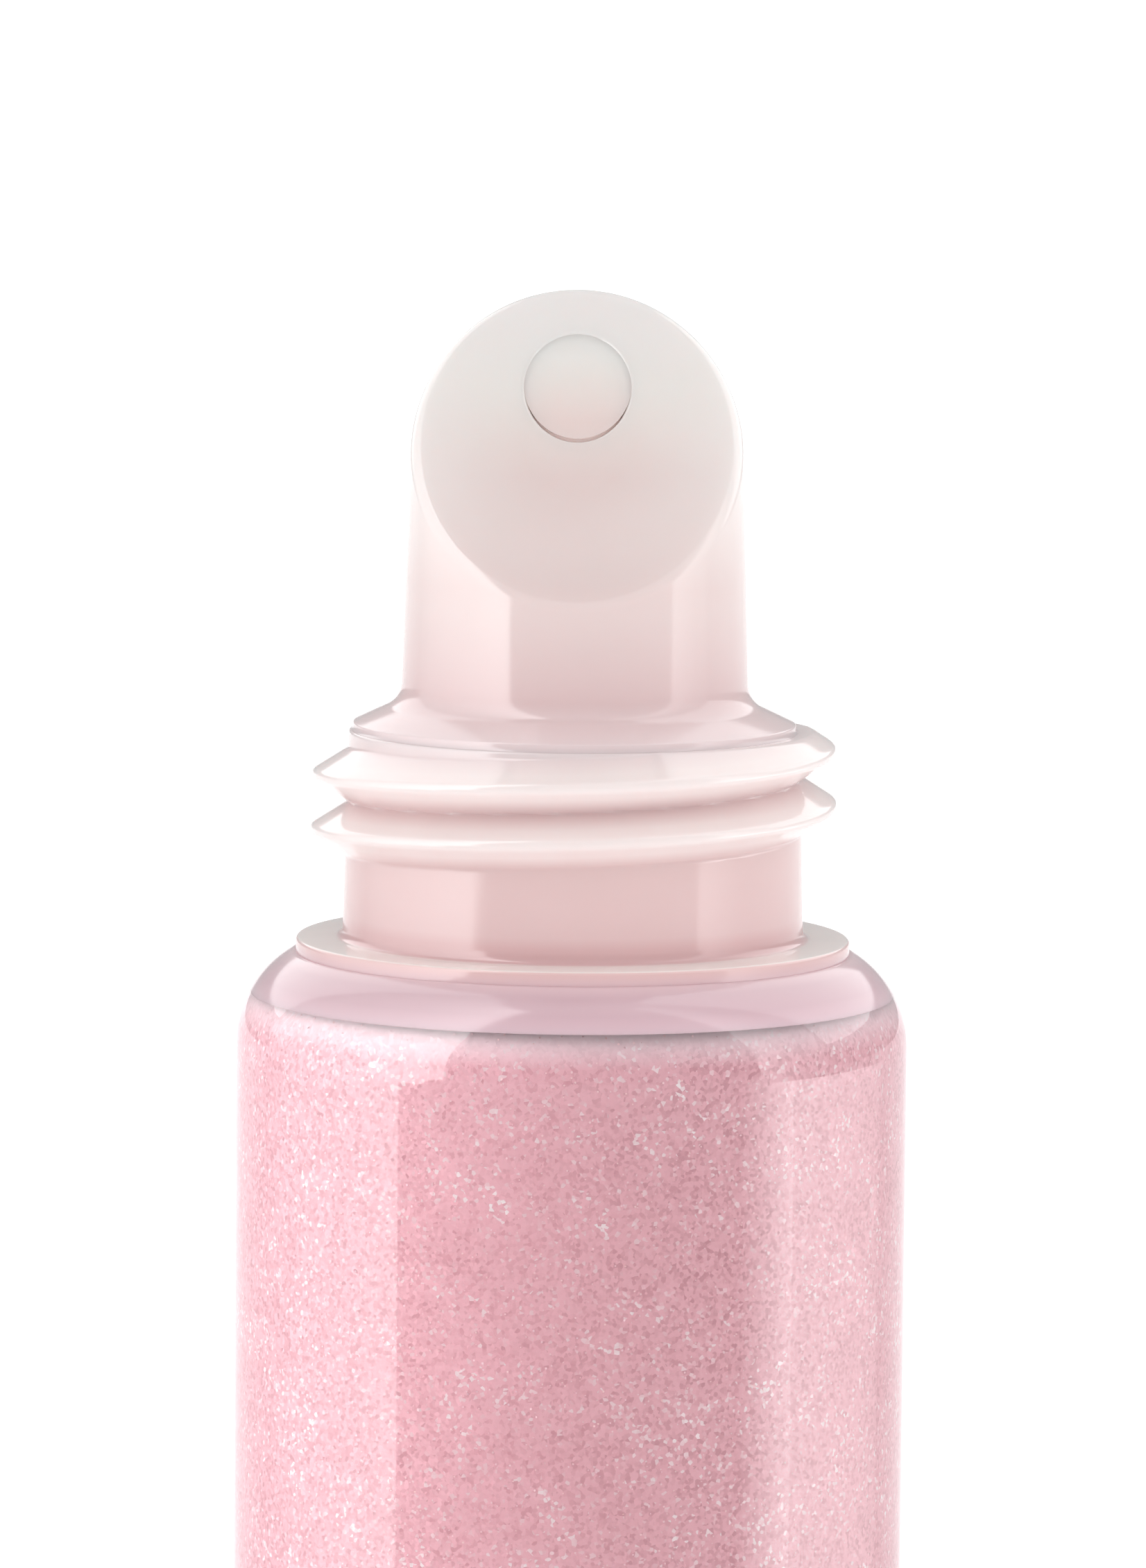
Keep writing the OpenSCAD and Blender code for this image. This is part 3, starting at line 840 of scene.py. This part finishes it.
@dataclass
class TubeBody:
    """Sleeve with its gloss and glitter flakes."""

    levels: Levels
    radius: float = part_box("sleeve")[1].y / MM
    wall: float = 0.5
    seal_t: float = 0.9
    slit_half: float = 0.04
    shoulder_round: float = 3.0
    weld_rise: float = 1.5
    lip_t: float = 0.3
    funnel_step: float = 0.6
    gloss_fit: float = 0.02
    bore_r: float = 4.8
    channel_r: float = 3.3
    gloss_level: float = 3.0
    neck_fit: float = 0.01
    funnel_rise: float = 1.0
    meniscus: float = 0.15
    ring_step: float = 1.0
    flakes_per_mm2: float = 6.0
    flake_r: float = 0.033
    flake_lift: float = 0.03
    flake_corners: int = 5
    flake_lean: tuple[float, float, float] = (0.45, 0.45, 3.0)
    flake_sizes: Point = (0.45, 1.15)
    bag: BagRule = field(default_factory=BagRule)

    def shoulder(self, inset: float, start: float, end: float) -> list[Point]:
        """The rounding that the sleeve turns in on, inset from its outside, between two heights."""
        centre = (self.radius - self.shoulder_round, self.levels.weld - self.weld_rise)
        radius = self.shoulder_round - inset
        low, high = (math.degrees(math.asin((z - centre[1]) / radius)) for z in (start, end))
        return arc(centre, radius, low, high, 10)

    def sleeve(self, material: Material) -> Object:
        """Makes the clear sleeve: outer and inner skin, joined at the open upper edge."""
        top = self.bag.taper_top
        outer = self.bag.skin("outer_bag", self.radius, self.seal_t / 2, 0.0, top, material, True)
        inner = self.bag.skin("inner_bag", self.radius - self.wall, self.slit_half, self.bag.seal_h,
                              top, material, False)
        weld = self.levels.weld
        outer_arc = self.shoulder(0.0, weld - self.weld_rise, weld)
        inner_arc = list(reversed(self.shoulder(self.wall, weld - self.weld_rise, weld)))
        outline = [*dense((self.radius, top), outer_arc[0], self.ring_step), *outer_arc, *inner_arc,
                   *dense(inner_arc[-1], (self.radius - self.wall, top), self.ring_step)[1:],
                   (self.radius - self.wall, top)]
        obj = piece("sleeve_clear", [as_skin(outer), as_skin(inner), turned(outline, closed=False)])
        return mount(obj, Body.TUBE, "clear_sleeve", material, "sleeve")

    def gloss(self, material: Material) -> Object:
        """Makes the gloss: the bag's filling, the funnel, the neck and the foot of the tip's channel."""
        top = self.bag.taper_top
        inset = self.wall - self.gloss_fit
        filled = self.bag.skin("gloss_bag", self.radius - inset, self.slit_half + self.gloss_fit,
                               self.bag.seal_h - self.gloss_fit, top, material, False)
        weld, plug = self.levels.weld, self.levels.plug
        level = self.levels.seat + self.gloss_level
        rounding = self.shoulder(inset, weld - self.weld_rise, weld)
        lip = self.shoulder(self.wall + self.lip_t, weld - self.weld_rise, weld)
        neck_r, channel_r = self.bore_r - self.neck_fit, self.channel_r - self.neck_fit
        outline = [*dense((self.radius - inset, top), rounding[0], self.ring_step), *rounding,
                   (lip[-1][0] - self.funnel_step, weld), (neck_r, weld + self.funnel_rise),
                   (neck_r, plug), (channel_r, plug), (channel_r, level + self.meniscus),
                   (self.channel_r - 2 * self.meniscus, level), (0.0, level - 0.05)]
        obj = piece("gloss_filling", [as_skin(filled), turned(outline, closed=False)])
        return mount(obj, Body.TUBE, "pink_gloss", material, "gloss")

    def flakes(self, gloss: Object, material: Material) -> Object:
        """Scatters larger glitter flakes just inside the clear wall, by Geometry Nodes.

        Args:
            gloss: the filling, whose skin the flakes lie on.
            material: their finish.

        Returns:
            The flakes as one piece.
        """
        tree = ShapeTree("glitter_flakes", {
            "Flakes per square metre": self.flakes_per_mm2 / MM ** 2, "Seed": FLAKE_SEED,
            "Flake radius": self.flake_r, "Lift": self.flake_lift, "Foot": self.bag.seal_h + 0.5,
            "Top": self.levels.weld - 0.05, "Material": material})
        size = tree.size
        _, _, z = tree.place()
        shown = tree.math("GREATER_THAN", z, size("Foot")) * tree.math("LESS_THAN", z, size("Top"))
        points = tree.add("GeometryNodeDistributePointsOnFaces", {
            "Mesh": tree.geometry, "Selection": shown, "Density": size("Flakes per square metre"),
            "Seed": size("Seed")}, distribute_method="RANDOM")
        lift = tree.vectors("SCALE", points.outputs["Normal"], size("Lift") * MM)
        raised = tree.add("GeometryNodeSetPosition", {"Geometry": points.outputs["Points"],
                                                      "Offset": lift})
        flake = tree.add("GeometryNodeMeshCircle", {
            "Vertices": self.flake_corners, "Radius": size("Flake radius") * MM}, fill_type="NGON")
        lean = tree.add("FunctionNodeRandomValue", {
            0: tuple(-part for part in self.flake_lean), 1: self.flake_lean, "Seed": size("Seed")},
            data_type="FLOAT_VECTOR")
        turn = tree.add("FunctionNodeEulerToRotation", {0: lean.outputs[0]})
        facing = tree.add("FunctionNodeRotateRotation", {0: points.outputs["Rotation"],
                                                         1: turn.outputs[0]}, rotation_space="LOCAL")
        grow = tree.add("FunctionNodeRandomValue", {
            2: self.flake_sizes[0], 3: self.flake_sizes[1], "Seed": size("Seed")}, data_type="FLOAT")
        placed = tree.add("GeometryNodeInstanceOnPoints", {
            "Points": raised.outputs[0], "Instance": flake.outputs[0], "Rotation": facing.outputs[0],
            "Scale": grow.outputs[1]})
        tree.close(placed.outputs[0])
        holder = linked("gloss_flakes", gloss.data.copy())
        holder.data = tree.run(holder)
        return mount(holder, Body.TUBE, "pink_gloss", material)


@dataclass
class Head:
    """Moulded head: shoulder, lip, thin flange and threaded neck."""

    levels: Levels
    tube_r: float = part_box("sleeve")[1].y / MM
    shoulder_round: float = 3.0
    weld_rise: float = 1.5
    wall: float = 0.5
    lip_t: float = 0.3
    lip_fit: float = 0.015
    funnel_step: float = 0.6
    funnel_rise: float = 1.0
    flange_t: float = 0.4
    flange_r: float = 7.82
    ledge_r: float = 7.9
    neck_h: float = 5.88
    foot_r: float = 6.51
    top_r: float = 6.36
    bore_r: float = 4.8
    thread_drop: float = 0.3
    thread_angle: float = 45.0
    thread_turns: float = 1.8
    thread_h: float = 1.0
    crest_half: float = 0.07
    root_depth: float = 0.07
    root_margin: float = 0.3
    ring_step: float = 0.06
    sides: int = 288

    def build(self, material: Material) -> Object:
        """Makes the head and raises its thread."""
        levels = self.levels
        centre = self.tube_r - self.shoulder_round
        tangent = levels.weld - self.weld_rise
        neck_z = levels.seat - self.neck_h
        flange_z = neck_z - self.flange_t
        outer_start = math.degrees(math.asin(self.weld_rise / self.shoulder_round))
        outer_end = math.degrees(math.acos((self.ledge_r - centre) / self.shoulder_round))

        def lip_arc(radius: float) -> list[Point]:
            """One side of the lip, from the weld down to its edge."""
            high, low = (math.degrees(math.asin((z - tangent) / radius))
                         for z in (levels.weld, levels.lip))
            return arc((centre, tangent), radius, high, low, 8)

        inner = self.shoulder_round - self.wall
        lip_inside = lip_arc(inner - self.lip_t)
        wall = dense((self.foot_r - 0.012, neck_z + 0.35), (self.top_r, levels.seat - 0.09),
                     self.ring_step)
        outline = [
            *lip_inside, *reversed(lip_arc(inner + self.lip_fit)),
            *arc((centre, tangent), self.shoulder_round, outer_start, outer_end, 28),
            *rounded([(self.flange_r, flange_z + 0.001), (self.flange_r, neck_z, 0.1),
                      (self.foot_r, neck_z, 0.25), (self.foot_r - 0.012, neck_z + 0.35)])[:-1],
            *wall,
            *rounded([wall[-1], (self.top_r, levels.seat, 0.08),
                      (self.bore_r + 0.5, levels.seat)])[1:],
            (self.bore_r, levels.seat), (self.bore_r, levels.weld + self.funnel_rise),
            (lip_inside[0][0] - self.funnel_step, levels.weld)]
        obj = piece("head_moulded", [turned(outline, self.sides)], SMOOTH_MOULDED)
        obj.data.materials.append(material)
        thread = Thread(levels.seat - self.thread_drop, self.thread_angle, self.thread_turns,
                        self.thread_h, self.crest_half, self.foot_r - self.root_depth)
        thread.raise_on(obj, neck_z + 0.5, levels.seat + 0.01, self.root_margin)
        tidy(obj, SMOOTH_MOULDED)
        return mount(obj, Body.TUBE, "frosted_neck", material, "neck_and_shoulder")


@dataclass
class Tip:
    """Applicator tip: plug, collar, filleted nozzle, slanted face with its outlet."""

    levels: Levels
    collar_r: float = 6.24
    collar_h: float = 0.22
    collar_rise: float = 25.0
    foot_round: float = 0.8
    nozzle_r: float = 4.88
    draft: float = 0.2
    slant: float = 43.0
    rim_round: float = 0.36
    outlet_r: float = 1.45
    outlet_back: float = 1.5
    outlet_round: float = 0.16
    face_t: float = 2.2
    gloss_depth: float = 1.4
    channel_r: float = 3.3
    bore_r: float = 4.8

    @property
    def lean(self) -> float:
        """The face's slant, in radians."""
        return math.radians(self.slant)

    @property
    def face_z(self) -> float:
        """Height at which the slanted face's plane crosses the axis."""
        return (self.levels.tip - (self.nozzle_r - self.draft - self.rim_round) * math.tan(self.lean)
                + self.rim_round / math.cos(self.lean) - self.rim_round)

    def rings(self) -> list[np.ndarray]:
        """Closed row of rings: from the plug's foot up the outside, over the face, down the channel."""
        seat, plug, lean, face_z = self.levels.seat, self.levels.plug, self.lean, self.face_z
        angles = np.arange(SIDES) * 2 * math.pi / SIDES
        east, north = np.cos(angles), np.sin(angles)
        rise = math.tan(lean)
        foot_x = self.nozzle_r + self.foot_round
        climb = math.radians(self.collar_rise)
        foot_z = (seat + self.collar_h + (self.collar_r - foot_x) * math.tan(climb)
                  + self.foot_round / math.cos(climb))
        face_normal = np.array([0.0, -math.sin(lean), math.cos(lean)])

        def ring(radius: float | np.ndarray, height: float | np.ndarray, back: float = 0.0) -> np.ndarray:
            """A ring round the axis, or round a line behind it."""
            return np.column_stack([radius * east, radius * north + back,
                                    np.broadcast_to(height, (SIDES,))])

        def slanted(radius: float, height: float, back: float = 0.0) -> np.ndarray:
            """A ring on a plane that leans as the face does."""
            points = ring(radius, 0.0, back)
            points[:, 2] = height + points[:, 1] * rise
            return points

        def between(first: np.ndarray, last: np.ndarray, shares: Iterable[float]) -> list[np.ndarray]:
            """Rings at shares of the way from one ring to another."""
            return [first + (last - first) * share for share in shares]

        def rolled(centres: np.ndarray, start: np.ndarray, end: np.ndarray, radius: float, steps: int
                   ) -> list[np.ndarray]:
            """Rings of a ball-rounded edge that turns from the start normals to the end normals."""
            turn = np.arccos(np.clip((start * end).sum(1), -1, 1))[:, None]
            return [centres + radius * (start * np.sin(turn * (1 - k / steps))
                                        + end * np.sin(turn * k / steps)) / np.sin(turn)
                    for k in range(steps + 1)]

        outline = rounded([(self.bore_r, plug, 0.25), (self.bore_r, seat),
                           (self.collar_r + 0.06, seat), (self.collar_r, seat + 0.08),
                           (self.collar_r, seat + self.collar_h, 0.06),
                           (foot_x - self.foot_round * math.sin(climb),
                            foot_z - self.foot_round * math.cos(climb))], 4)
        rows = [ring(r, z) for r, z in outline[:-1]]
        for share in np.linspace(0, 1, 10):
            turn = climb + (math.pi / 2 - climb) * share
            rows.append(ring(foot_x - self.foot_round * math.sin(turn),
                             foot_z - self.foot_round * math.cos(turn)))
        centres = slanted(self.nozzle_r - self.draft - self.rim_round,
                          face_z - self.rim_round / math.cos(lean))
        outwards = np.column_stack([east, north, np.zeros(SIDES)])
        tilted = np.broadcast_to(face_normal, (SIDES, 3))
        rim = rolled(centres, outwards, tilted, self.rim_round, 10)
        rows += between(rows[-1], rim[0], np.linspace(0, 1, 14)[1:-1]) + rim
        hole = slanted(self.outlet_r + self.outlet_round, face_z - self.outlet_round / math.cos(lean),
                       self.outlet_back)
        lip = rolled(hole, tilted, -outwards, self.outlet_round, 6)
        rows += between(rim[-1], lip[0], np.linspace(0, 1, 12)[1:-1]) + lip
        roof = face_z - self.face_t
        bore, channel = slanted(self.outlet_r, roof, self.outlet_back), slanted(self.channel_r, roof)
        rows += between(lip[-1], bore, (0.3, 0.7, 1.0)) + between(bore, channel, (0.3, 0.7, 1.0))
        return rows + between(channel, ring(self.channel_r, plug), (0.25, 0.5, 0.75, 1.0))

    def standing_gloss(self, material: Material) -> Object:
        """Makes the gloss that stands in the outlet, just under the face."""
        angles = np.arange(SIDES) * 2 * math.pi / SIDES
        wall = self.outlet_r - 0.01
        rows = []
        for radius, under in ((0.0, self.gloss_depth), (wall, self.gloss_depth), (wall, 0.16),
                              (wall + 0.08, 0.035), (wall - 0.04, 0.06), (wall - 0.24, 0.08),
                              (wall * 0.6, 0.07), (wall * 0.3, 0.05), (0.0, 0.04)):
            around = angles if radius else angles[:1]
            north = self.outlet_back + radius * np.sin(around)
            rows.append(np.column_stack([radius * np.cos(around), north,
                                         self.face_z - under + north * math.tan(self.lean)]))
        obj = piece("gloss_in_outlet", [lofted(rows, False)], SMOOTH_MOULDED)
        return mount(obj, Body.TUBE, "pink_gloss", material)

    def build(self, material: Material) -> Object:
        """Makes the tip."""
        obj = piece("tip_slanted", [lofted(self.rings(), True)], SMOOTH_MOULDED)
        return mount(obj, Body.TUBE, "milky_tip", material, "applicator_tip")


@dataclass
class Cap:
    """Screw cap: clear shell, threaded liner with ribs and fins, and a soft washer."""

    levels: Levels
    lift: float = 31.0
    shell_r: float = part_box("cap_shell")[1].y / MM
    shell_wall: float = 0.8
    shell_top: float = 1.2
    edge_round: float = 1.5
    bore_r: float = 7.46
    liner_wall: float = 0.75
    chamber_r: float = 5.6
    washer_hole_r: float = 5.542
    washer_r: float = 7.42
    washer_gap: float = 0.04
    rib_count: int = 12
    fin_count: int = 6
    web_t: float = 0.7
    ridge_top: float = 68.0638
    ridge_angle: float = -127.9
    ridge_turns: float = 1.75
    ridge_h: float = 0.85
    ridge_crest: float = 0.0765
    ridge_soft: float = 0.06

    def shell(self, material: Material) -> Object:
        """Makes the clear outer shell."""
        rim, top = self.levels.rim, self.levels.cap
        bore = self.shell_r - self.shell_wall
        ceiling = top - self.shell_top
        outline = rounded([(bore, ceiling, 0.5), (bore, rim, 0.2), (self.shell_r, rim, 0.2),
                           (self.shell_r, top, self.edge_round), (0.0, top), (0.0, ceiling)], 10)
        obj = piece("cap_shell_clear", [turned(outline)])
        return mount(obj, Body.CAP_TURNING, "clear_shell", material, "cap_shell")

    def webs(self, name: str, count: int, inner: float, low: float, high: float,
             material: Material) -> Mesh:
        """Sets flat webs round the liner, by Geometry Nodes.

        Args:
            name: the tree's name.
            count: how many.
            inner: radius they stand on.
            low, high: their lower and upper heights.
            material: their finish.

        Returns:
            The webs' mesh.
        """
        outer = self.shell_r - self.shell_wall - 0.01
        tree = ShapeTree(name, {"Count": count, "Inner": inner - 0.2, "Outer": outer, "Low": low,
                                "High": high, "Thickness": self.web_t, "Material": material})
        size = tree.size
        width = size("Outer") - size("Inner")
        tall = size("High") - size("Low")
        web = tree.add("GeometryNodeMeshCube", {"Size": tree.metres(width, size("Thickness"), tall)})
        moved = tree.add("GeometryNodeTransform", {
            "Geometry": web.outputs[0],
            "Translation": tree.metres((size("Outer") + size("Inner")) * 0.5, 0.0,
                                       (size("High") + size("Low")) * 0.5)})
        spots = tree.add("GeometryNodeMeshLine", {"Count": size("Count"), "Offset": (0.0, 0.0, 0.0)})
        step = tree.wire("GeometryNodeInputIndex", 0) * (2 * math.pi) / size("Count")
        turn = tree.add("FunctionNodeEulerToRotation", {0: tree.vector(0.0, 0.0, step)})
        placed = tree.add("GeometryNodeInstanceOnPoints", {
            "Points": spots.outputs[0], "Instance": moved.outputs[0], "Rotation": turn.outputs[0]})
        tree.close(placed.outputs[0])
        return tree.grow()

    def liner(self, material: Material) -> Object:
        """Makes the threaded liner with its ribs and fins."""
        foot, ceiling = self.levels.liner_foot, self.levels.liner_top
        seat = self.levels.washer_top + self.washer_gap
        outer = self.bore_r + self.liner_wall
        chamber_out = self.chamber_r + self.liner_wall
        top = ceiling - 0.01
        wall = dense((self.bore_r, foot + 0.3), (self.bore_r, seat - 0.1), 0.07)
        outline = [*rounded([(self.bore_r, seat), (self.bore_r, foot, 0.15), (outer, foot, 0.15),
                             (outer, seat + self.liner_wall, 0.3), (chamber_out, seat + self.liner_wall, 0.3),
                             (chamber_out, top, 0.2), (0.0, top)], 4)[1:],
                   *rounded([(0.0, top - self.liner_wall + 0.01),
                             (self.chamber_r, top - self.liner_wall + 0.01, 0.4),
                             (self.chamber_r, seat, 0.1), (self.bore_r, seat)], 4)[:-1],
                   (self.bore_r, seat), *reversed(wall)]
        obj = piece("cap_liner_milky", [turned(outline, 240)], SMOOTH_MOULDED)
        obj.data.materials.append(material)
        thread = Thread(self.ridge_top + self.lift, self.ridge_angle, self.ridge_turns, self.ridge_h,
                        self.ridge_crest, self.bore_r, inwards=True, soft=self.ridge_soft)
        thread.raise_on(obj, foot + 0.25, seat - 0.05, 0.05)
        low = seat + self.liner_wall
        ribs = self.webs("press_ribs", self.rib_count, outer, foot + 1.0, seat, material)
        fins = self.webs("centring_fins", self.fin_count, chamber_out, low - 0.01, ceiling - 2.0, material)
        whole = piece("cap_liner_webbed", [as_skin(obj.data), as_skin(ribs), as_skin(fins)], SMOOTH_MOULDED)
        bpy.data.objects.remove(obj)
        whole.name = "cap_liner_milky"
        return mount(whole, Body.CAP_TURNING, "white_liner", material, "cap_liner")

    def washer(self, material: Material) -> Object:
        """Makes the soft washer."""
        low, high = self.levels.washer_foot, self.levels.washer_top
        outline = rounded([(self.washer_hole_r, low, 0.12), (self.washer_r, low, 0.12),
                           (self.washer_r, high, 0.12), (self.washer_hole_r, high, 0.12)], 4)
        obj = piece("cap_washer_foam", [turned(outline)])
        return mount(obj, Body.CAP_LIFTING, "soft_washer", material, "cap_washer")


# ---------------------------------------------------------------- the studio


@dataclass
class Panel:
    """One curved light panel, which shows only as a reflection."""

    name: str
    edges: Edges
    glow: float
    far_glow: float
    radius: float = 200.0
    columns: int = 32

    def build(self) -> Object:
        """Hangs the panel.

        Each of its edges is a height and the two bearings it spans there, in degrees from the camera's
        side, positive to the right.
        """
        rows = []
        for height, near, far in self.edges:
            bearing = np.radians(np.linspace(near, far, self.columns + 1))
            rows.append(np.column_stack([self.radius * np.sin(bearing), -self.radius * np.cos(bearing),
                                         np.full(self.columns + 1, height)]))
        step = self.columns + 1
        faces = [(k * step + i, k * step + i + 1, (k + 1) * step + i + 1, (k + 1) * step + i)
                 for k in range(len(rows) - 1) for i in range(self.columns)]
        obj = piece(self.name, [(np.vstack(rows), faces)])
        material, graph = blank(self.name)
        x, y, _ = graph.split(Finish.spot(graph))
        bearing = graph.math("ARCTAN2", graph.math("ABSOLUTE", x), 0.0 - y)
        near, far = (math.radians(abs(side)) for side in self.edges[0][1:])
        share = ((bearing - near) / (far - near)).clamped()
        strength = self.glow + share * (self.far_glow - self.glow)
        light = graph.add("ShaderNodeEmission", {"Strength": strength})
        graph.add("ShaderNodeOutputMaterial", {"Surface": light.outputs[0]})
        obj.data.materials.append(material)
        obj.visible_camera = False
        obj.visible_diffuse = False
        obj.visible_shadow = False
        return obj


def upright(low: float, high: float, near: float, far: float) -> Edges:
    """Edges of a panel that spans the same bearings from a low height to a high one."""
    return (low, near, far), (high, near, far)


# Heights of the panels' lower and upper edges, in millimetres
FOOT, SPLIT, STEP, BACK, TOP = 0.0, 39.0, 56.0, 110.0, 900.0
PANELS = (
    Panel("left_low", upright(FOOT, SPLIT, -59.5, -126.0), 4.8, 1.2),
    Panel("left_high", ((SPLIT, -51.5, -126.0), (47.0, -49.5, -126.0),
                        *upright(STEP, TOP, -43.0, -126.0)), 5.5, 1.2),
    Panel("left_back", upright(BACK, TOP, -112.0, -165.0), 2.6, 2.0),
    Panel("right_low", upright(FOOT, SPLIT, 57.0, 80.0), 0.8, 7.0),
    Panel("right_wide", upright(FOOT, SPLIT, 80.0, 130.0), 5.5, 1.5),
    Panel("right_high", ((SPLIT, 62.0, 88.0), *upright(STEP, TOP, 66.0, 96.0)), 3.5, 1.5),
    Panel("right_back", upright(BACK, TOP, 98.0, 160.0), 2.6, 2.0))


@dataclass
class Studio:
    """White floor, soft panels, pale surroundings and the camera."""

    target: tuple[float, float, float] = (-0.03, 0.0, 66.8)
    elevation: float = 6.2
    distance: float = 250.0
    focal: float = 203.4
    roll: float = 0.53
    floor_r: float = 3000.0
    floor_z: float = -0.05
    floor_rings: Point = (60.0, 400.0)
    sky_gain: float = 0.45

    def floor(self) -> None:
        """Lays the plain floor."""
        outline = [*((r, self.floor_z) for r in (0.0, *self.floor_rings, self.floor_r)),
                   (self.floor_r, self.floor_z - 1.0), (0.0, self.floor_z - 1.0)]
        obj = piece("floor", [turned(outline, 96)])
        material, graph = blank("floor_paper")
        shader = graph.add("ShaderNodeBsdfPrincipled", {"Base Color": (0.97, 0.97, 0.97, 1.0),
                                                        "Roughness": 0.9,
                                                        "Emission Color": (1.0, 1.0, 1.0, 1.0),
                                                        "Emission Strength": 0.25})
        graph.add("ShaderNodeOutputMaterial", {"Surface": shader.outputs[0]})
        obj.data.materials.append(material)

    def world(self) -> None:
        """Makes the surroundings: white, with a darker side behind the camera."""
        world = bpy.data.worlds.new("studio")
        bpy.context.scene.world = world
        world.use_nodes = True
        graph = Graph(world.node_tree)
        x, y, z = graph.split(graph.add("ShaderNodeTexCoord").outputs["Generated"])
        front = (0.5 - 0.5 * y).clamped()
        shade = graph.ramp(front, [(place, (grey, grey, grey, 1.0)) for place, grey in WORLD_GREYS])
        seen = graph.add("ShaderNodeLightPath").outputs["Is Camera Ray"]
        colour = graph.blend(Wire(graph, seen), shade, CAMERA_WHITE)
        back = graph.add("ShaderNodeBackground", {"Color": colour,
                                                  "Strength": 1.0 + self.sky_gain * z.clamped()})
        graph.add("ShaderNodeOutputWorld", {"Surface": back.outputs[0]})

    def camera(self) -> None:
        """Sets the camera."""
        data = bpy.data.cameras.new("camera")
        data.sensor_fit = "VERTICAL"
        data.sensor_height = 36.0
        data.lens = self.focal
        data.clip_start, data.clip_end = 0.01, 20.0
        obj = linked("camera", data)
        e = math.radians(self.elevation)
        aim = Vector(self.target) * MM
        place = aim + Vector((0.0, -math.cos(e), math.sin(e))) * self.distance * MM
        look = (aim - place).to_track_quat("-Z", "Y").to_matrix().to_4x4()
        obj.matrix_world = Matrix.Translation(place) @ look @ Matrix.Rotation(
            math.radians(self.roll), 4, "Z")
        bpy.context.scene.camera = obj

    def build(self) -> None:
        """Sets up the whole studio."""
        self.floor()
        self.world()
        for panel in PANELS:
            panel.build()
        self.camera()
        bpy.context.scene.view_settings.view_transform = "Standard"


def main() -> None:
    """Builds the tube, the cap and the studio."""
    logging.basicConfig(level=logging.INFO)
    levels = Levels()
    clear = ClearPlastic("clear_sleeve_plastic").build()
    gel = ShimmerGel("shimmer_gel").build()
    foil = FlakeFoil("flake_foil").build()
    neck = MilkyPlastic("frosted_neck_plastic", NECK_TONES_WITH_PAINTED_HIGHLIGHT, low=59.0, high=68.4, thick_above=62.9,
                        thick_soft=0.3, shimmer_full=60.1, shimmer_gone=61.0).build()
    milk = MilkyPlastic("milky_tip_plastic", TIP_TONES, low=68.3, high=80.4, thin_r=1.6, thick_r=5.6,
                        thick_above=72.6, thick_soft=3.0, thick_colour=linear(250, 245, 243)).build()
    # Painted light: the outlet's gloss takes near-white cream tones
    outlet_painted_light = MilkyPlastic("gloss_in_outlet_cream", OUTLET_PAINTED_LIGHT_TONES, low=68.3, high=80.4, thin_r=50.0,
                         thick_r=60.0).build()
    shell = ClearPlastic("clear_shell_plastic", roughness=0.015, wave_depth_mm=0.002).build()
    white = MilkyPlastic("white_liner_plastic", LINER_TONES, low=90.0, high=118.0, thin_r=6.0,
                         thick_r=8.5).build()
    foam = SoftFoam("soft_washer_foam").build()

    body = TubeBody(levels)
    body.sleeve(clear)
    filling = body.gloss(gel)
    body.flakes(filling, foil)
    Head(levels).build(neck)
    tip = Tip(levels)
    tip.build(milk)
    tip.standing_gloss(outlet_painted_light)
    cap = Cap(levels)
    cap.shell(shell)
    cap.liner(white)
    cap.washer(foam)
    Studio().build()


if __name__ == "__main__":
    main()
